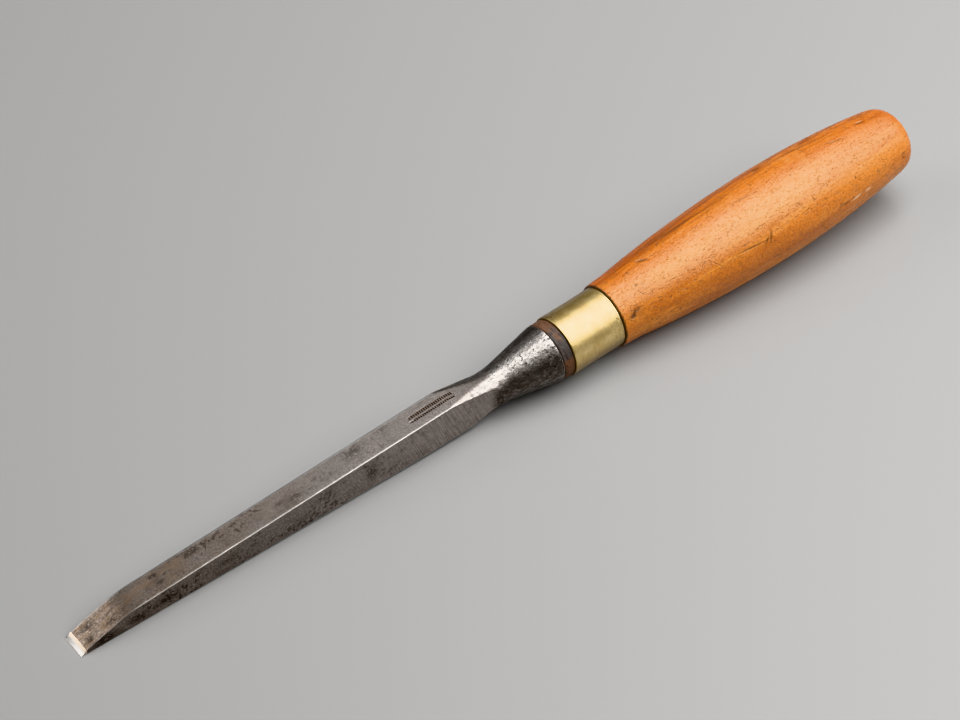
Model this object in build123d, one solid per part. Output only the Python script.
from build123d import *
import os
from math import asin, atan2, cos, degrees, hypot, radians, sin, tan

# Sash mortise chisel: one steel forging (blade, round neck, bolster and tang), a leather
# washer, a brass ferrule and a turned boxwood handle. Millimetres.
# It is drawn along its own axis first: the handle's axis is X, the cutting edge is at x = 0
# and the bevel faces +Z. At the end every piece is tipped together into the pose in which
# the tool lies on a bench, on its cutting edge and the handle's belly.

# Blade
BLADE_WIDTH = 9.525  # the 3/8 in size
BACK_RISE = 1.0  # the cutting edge lies this far above the handle's axis
BACK_ANGLE = 3.2  # degrees between the flat back and the handle's axis
EDGE_HONE_LENGTH = 2.4  # the steeper honed strip at the edge
EDGE_HONE_HEIGHT = 1.6
BEVEL_HEEL_X = 20.5  # where the bevel meets the top face
BEVEL_BULGE = 0.22  # how far the slightly rounded bevel stands above its chord
HEEL_RADIUS = 25.0
TOP_AT_HEEL = 7.75
TOP_AT_NECK = 8.95
TOP_DIP_X = 150.0  # where the top face starts to dip to the round neck
TOP_DIP_END_X = 166.0
TOP_DIP_RADIUS = 60.0
BACK_LIFT_X = 138.0  # where the back lifts to run level with the axis
BACK_LIFT_RADIUS = 100.0

# Neck and bolster, which are round about the axis
NECK_X = 168.2
NECK_APEX_RADIUS = 6.36  # where the two cones would meet without the blend
NECK_BLEND_RADIUS = 30.0
NECK_RADIUS = 6.9
NECK_CONE_SLOPE = 0.19  # towards the blade; it rounds the blade's four corners off
BOLSTER_END_X = 192.8
BOLSTER_RADIUS = 11.0
BOLSTER_EDGE_RADIUS = 0.6
SIDE_RUNOUT_X = 164.5  # where the ground sides start to run out into the neck
SIDE_RUNOUT_RADIUS = 8.0
STOCK_RADIUS = 12.0  # the largest radius of the forging blank
CONE_START_RADIUS = 1.0  # where the cone that rounds the corners leaves the blank

# Tang
TANG_LENGTH = 78.0
TANG_ROOT = 8.6
TANG_TIP = 4.2

# Leather washer
WASHER_THICKNESS = 4.4
WASHER_RADIUS = 10.9
WASHER_HOLE_RADIUS = 6.3
WASHER_EDGE_RADIUS = 0.4

# Brass ferrule
FERRULE_LENGTH = 21.7
FERRULE_RADIUS = 11.4
FERRULE_WALL = 1.0
FERRULE_EDGE_RADIUS = 0.4

# Handle, measured from its shoulder
HANDLE_LENGTH = 139.8
SHOULDER_RADIUS = 12.25
SHOULDER_EDGE_RADIUS = 0.8
SHOULDER_FLAT = 8.0  # length of the nearly straight run behind the shoulder
BELLY_X = 76.0
BELLY_RADIUS = 17.2
FRONT_SWELL_RADIUS = 520.0
REAR_SWELL_RADIUS = 380.0
DOME_RADIUS = 18.0
DOME_EDGE_RADIUS = 4.0
TANG_CLEARANCE = 0.05  # on each side of the tang in its tapered hole
TANG_HOLE_EXTRA = 2.0  # free depth past the tang's tip

WASHER_X = BOLSTER_END_X
FERRULE_X = WASHER_X + WASHER_THICKNESS
SHOULDER_X = FERRULE_X + FERRULE_LENGTH
BELLY_TOP_X = SHOULDER_X + BELLY_X
TENON_RADIUS = FERRULE_RADIUS - FERRULE_WALL


def back_z(x):
    """Height of the flat back above the axis."""
    return BACK_RISE - x * tan(radians(BACK_ANGLE))


def side_outline():
    """The forging's outline in the XZ plane, past the bolster's radius beyond the neck."""
    edge = (0, back_z(0))
    hone = (EDGE_HONE_LENGTH, back_z(0) + EDGE_HONE_HEIGHT)
    heel = (BEVEL_HEEL_X, TOP_AT_HEEL)
    dip = (TOP_DIP_X, TOP_AT_NECK)
    top_neck = (NECK_X, NECK_RADIUS)
    back_neck = (NECK_X, -NECK_RADIUS)
    lift = (BACK_LIFT_X, back_z(BACK_LIFT_X))
    bevel = SagittaArc(hone, heel, BEVEL_BULGE)
    dip_end = (TOP_DIP_END_X, NECK_RADIUS)
    top = FilletPolyline(heel, dip, dip_end, top_neck, radius=[TOP_DIP_RADIUS, NECK_BLEND_RADIUS])
    back = FilletPolyline(back_neck, lift, edge, radius=BACK_LIFT_RADIUS)
    bolster = Polyline(
        top_neck,
        (NECK_X, STOCK_RADIUS),
        (BOLSTER_END_X, STOCK_RADIUS),
        (BOLSTER_END_X, -STOCK_RADIUS),
        (NECK_X, -STOCK_RADIUS),
        back_neck,
    )
    face = make_face([Line(edge, hone), bevel, top, bolster, back])
    heel_corner = face.vertices().sort_by_distance(heel)[0]
    return Plane.XZ * fillet(heel_corner, HEEL_RADIUS)


def plan_outline():
    """The forging's outline in the XY plane: parallel ground sides that run out at the neck."""
    half = BLADE_WIDTH / 2
    wide = half + SIDE_RUNOUT_RADIUS
    runout_end_x = SIDE_RUNOUT_X + SIDE_RUNOUT_RADIUS
    middle_x = SIDE_RUNOUT_X + SIDE_RUNOUT_RADIUS * sin(radians(45))
    middle_y = wide - SIDE_RUNOUT_RADIUS * cos(radians(45))
    side = Line((0, half), (SIDE_RUNOUT_X, half))
    runout = ThreePointArc((SIDE_RUNOUT_X, half), (middle_x, middle_y), (runout_end_x, wide))
    rest = Polyline((runout_end_x, wide), (BOLSTER_END_X, wide), (BOLSTER_END_X, 0), (0, 0), (0, half))
    upper = make_face([side, runout, rest])
    return upper + mirror(upper, about=Plane.XZ)


def round_blank():
    """The forging's round envelope: a cone that trims the blade's corners, and the bolster."""
    stock_end_x = NECK_X - (STOCK_RADIUS - NECK_APEX_RADIUS) / NECK_CONE_SLOPE
    neck = (NECK_X, NECK_APEX_RADIUS)
    lip = (BOLSTER_END_X, BOLSTER_RADIUS)
    outside = FilletPolyline(
        (0, STOCK_RADIUS),
        (stock_end_x, STOCK_RADIUS),
        neck,
        lip,
        (BOLSTER_END_X, 0),
        radius=[CONE_START_RADIUS, NECK_BLEND_RADIUS, BOLSTER_EDGE_RADIUS],
    )
    inside = Polyline((BOLSTER_END_X, 0), (0, 0), (0, STOCK_RADIUS))
    return revolve(Plane.XZ * make_face([outside, inside]), Axis.X)


def tapered_square(x, length, root, tip):
    """A square spike along +X."""
    root_section = Plane.YZ.offset(x) * Rectangle(root, root)
    tip_section = Plane.YZ.offset(x + length) * Rectangle(tip, tip)
    return loft([root_section, tip_section])


def make_blade():
    body = extrude(side_outline(), amount=STOCK_RADIUS + SIDE_RUNOUT_RADIUS, both=True)
    body &= extrude(plan_outline(), amount=STOCK_RADIUS, both=True)
    body &= round_blank()
    return body + tapered_square(BOLSTER_END_X, TANG_LENGTH, TANG_ROOT, TANG_TIP)


def ring(x, length, outer, inner, edge_radius):
    """A tube along +X with its two outer edges rounded."""
    outline = FilletPolyline(
        (x, inner), (x, outer), (x + length, outer), (x + length, inner), radius=edge_radius
    )
    return revolve(Plane.XZ * make_face([outline, Line((x + length, inner), (x, inner))]), Axis.X)


def make_washer():
    return ring(WASHER_X, WASHER_THICKNESS, WASHER_RADIUS, WASHER_HOLE_RADIUS, WASHER_EDGE_RADIUS)


def make_ferrule():
    return ring(FERRULE_X, FERRULE_LENGTH, FERRULE_RADIUS, TENON_RADIUS, FERRULE_EDGE_RADIUS)


def swell_radius(x):
    """Handle radius at x from the shoulder: two arcs that share their crest at the belly."""
    arc_radius = FRONT_SWELL_RADIUS if x < BELLY_X else REAR_SWELL_RADIUS
    run = x - BELLY_X
    return BELLY_RADIUS - arc_radius + (arc_radius**2 - run**2) ** 0.5


def handle_point(x):
    return (SHOULDER_X + x, swell_radius(x))


def dome_meeting():
    """Distance from the shoulder at which the domed end meets the rear swell."""
    centre = HANDLE_LENGTH - DOME_RADIUS
    low, high = centre, HANDLE_LENGTH
    for _ in range(50):
        middle = (low + high) / 2
        dome = (DOME_RADIUS**2 - (middle - centre) ** 2) ** 0.5
        low, high = (middle, high) if dome > swell_radius(middle) else (low, middle)
    return low


def handle_outline():
    meet = dome_meeting()
    crest = handle_point(BELLY_X)
    end = (SHOULDER_X + HANDLE_LENGTH, 0)
    dome_turn = asin(swell_radius(meet) / DOME_RADIUS) / 2
    dome_middle = (end[0] - DOME_RADIUS * (1 - cos(dome_turn)), DOME_RADIUS * sin(dome_turn))
    tenon_root = (SHOULDER_X, TENON_RADIUS)
    tenon = Polyline((FERRULE_X, 0), (FERRULE_X, TENON_RADIUS), tenon_root)
    rim = (SHOULDER_X, SHOULDER_RADIUS)
    shoulder = FilletPolyline(tenon_root, rim, handle_point(SHOULDER_FLAT), radius=SHOULDER_EDGE_RADIUS)
    front = ThreePointArc(handle_point(SHOULDER_FLAT), handle_point((SHOULDER_FLAT + BELLY_X) / 2), crest)
    rear = ThreePointArc(crest, handle_point((BELLY_X + meet) / 2), handle_point(meet))
    dome = ThreePointArc(handle_point(meet), dome_middle, end)
    face = make_face([tenon, shoulder, front, rear, dome, Line(end, (FERRULE_X, 0))])
    dome_edge = face.vertices().sort_by_distance(handle_point(meet))[0]
    return fillet(dome_edge, DOME_EDGE_RADIUS)


def make_handle():
    body = revolve(Plane.XZ * handle_outline(), Axis.X)
    taper = (TANG_ROOT - TANG_TIP) / TANG_LENGTH
    side_at_mouth = TANG_ROOT - taper * WASHER_THICKNESS + 2 * TANG_CLEARANCE
    depth = TANG_LENGTH - WASHER_THICKNESS + TANG_HOLE_EXTRA
    return body - tapered_square(FERRULE_X, depth, side_at_mouth, side_at_mouth - taper * depth)


def bench_tilt():
    """Angle that lays the cutting edge and the handle's front swell on one level."""
    centre_z = FRONT_SWELL_RADIUS - BELLY_RADIUS - back_z(0)
    reach = hypot(BELLY_TOP_X, centre_z)
    return degrees(asin(FRONT_SWELL_RADIUS / reach) - atan2(centre_z, BELLY_TOP_X))


def main():
    pieces = {
        "blade": make_blade(),
        "leather_washer": make_washer(),
        "ferrule": make_ferrule(),
        "handle": make_handle(),
    }
    laid = {}
    for name, piece in pieces.items():
        laid[name] = Rot(0, -bench_tilt(), 0) * Pos(0, 0, -back_z(0)) * piece
    box = Compound(children=[Compound([piece]) for piece in laid.values()]).bounding_box()
    to_origin = Pos(-box.center().X, 0, -box.min.Z)
    os.makedirs("parts", exist_ok=True)
    for name, piece in laid.items():
        export_step(to_origin * piece, f"parts/{name}.step")


main()
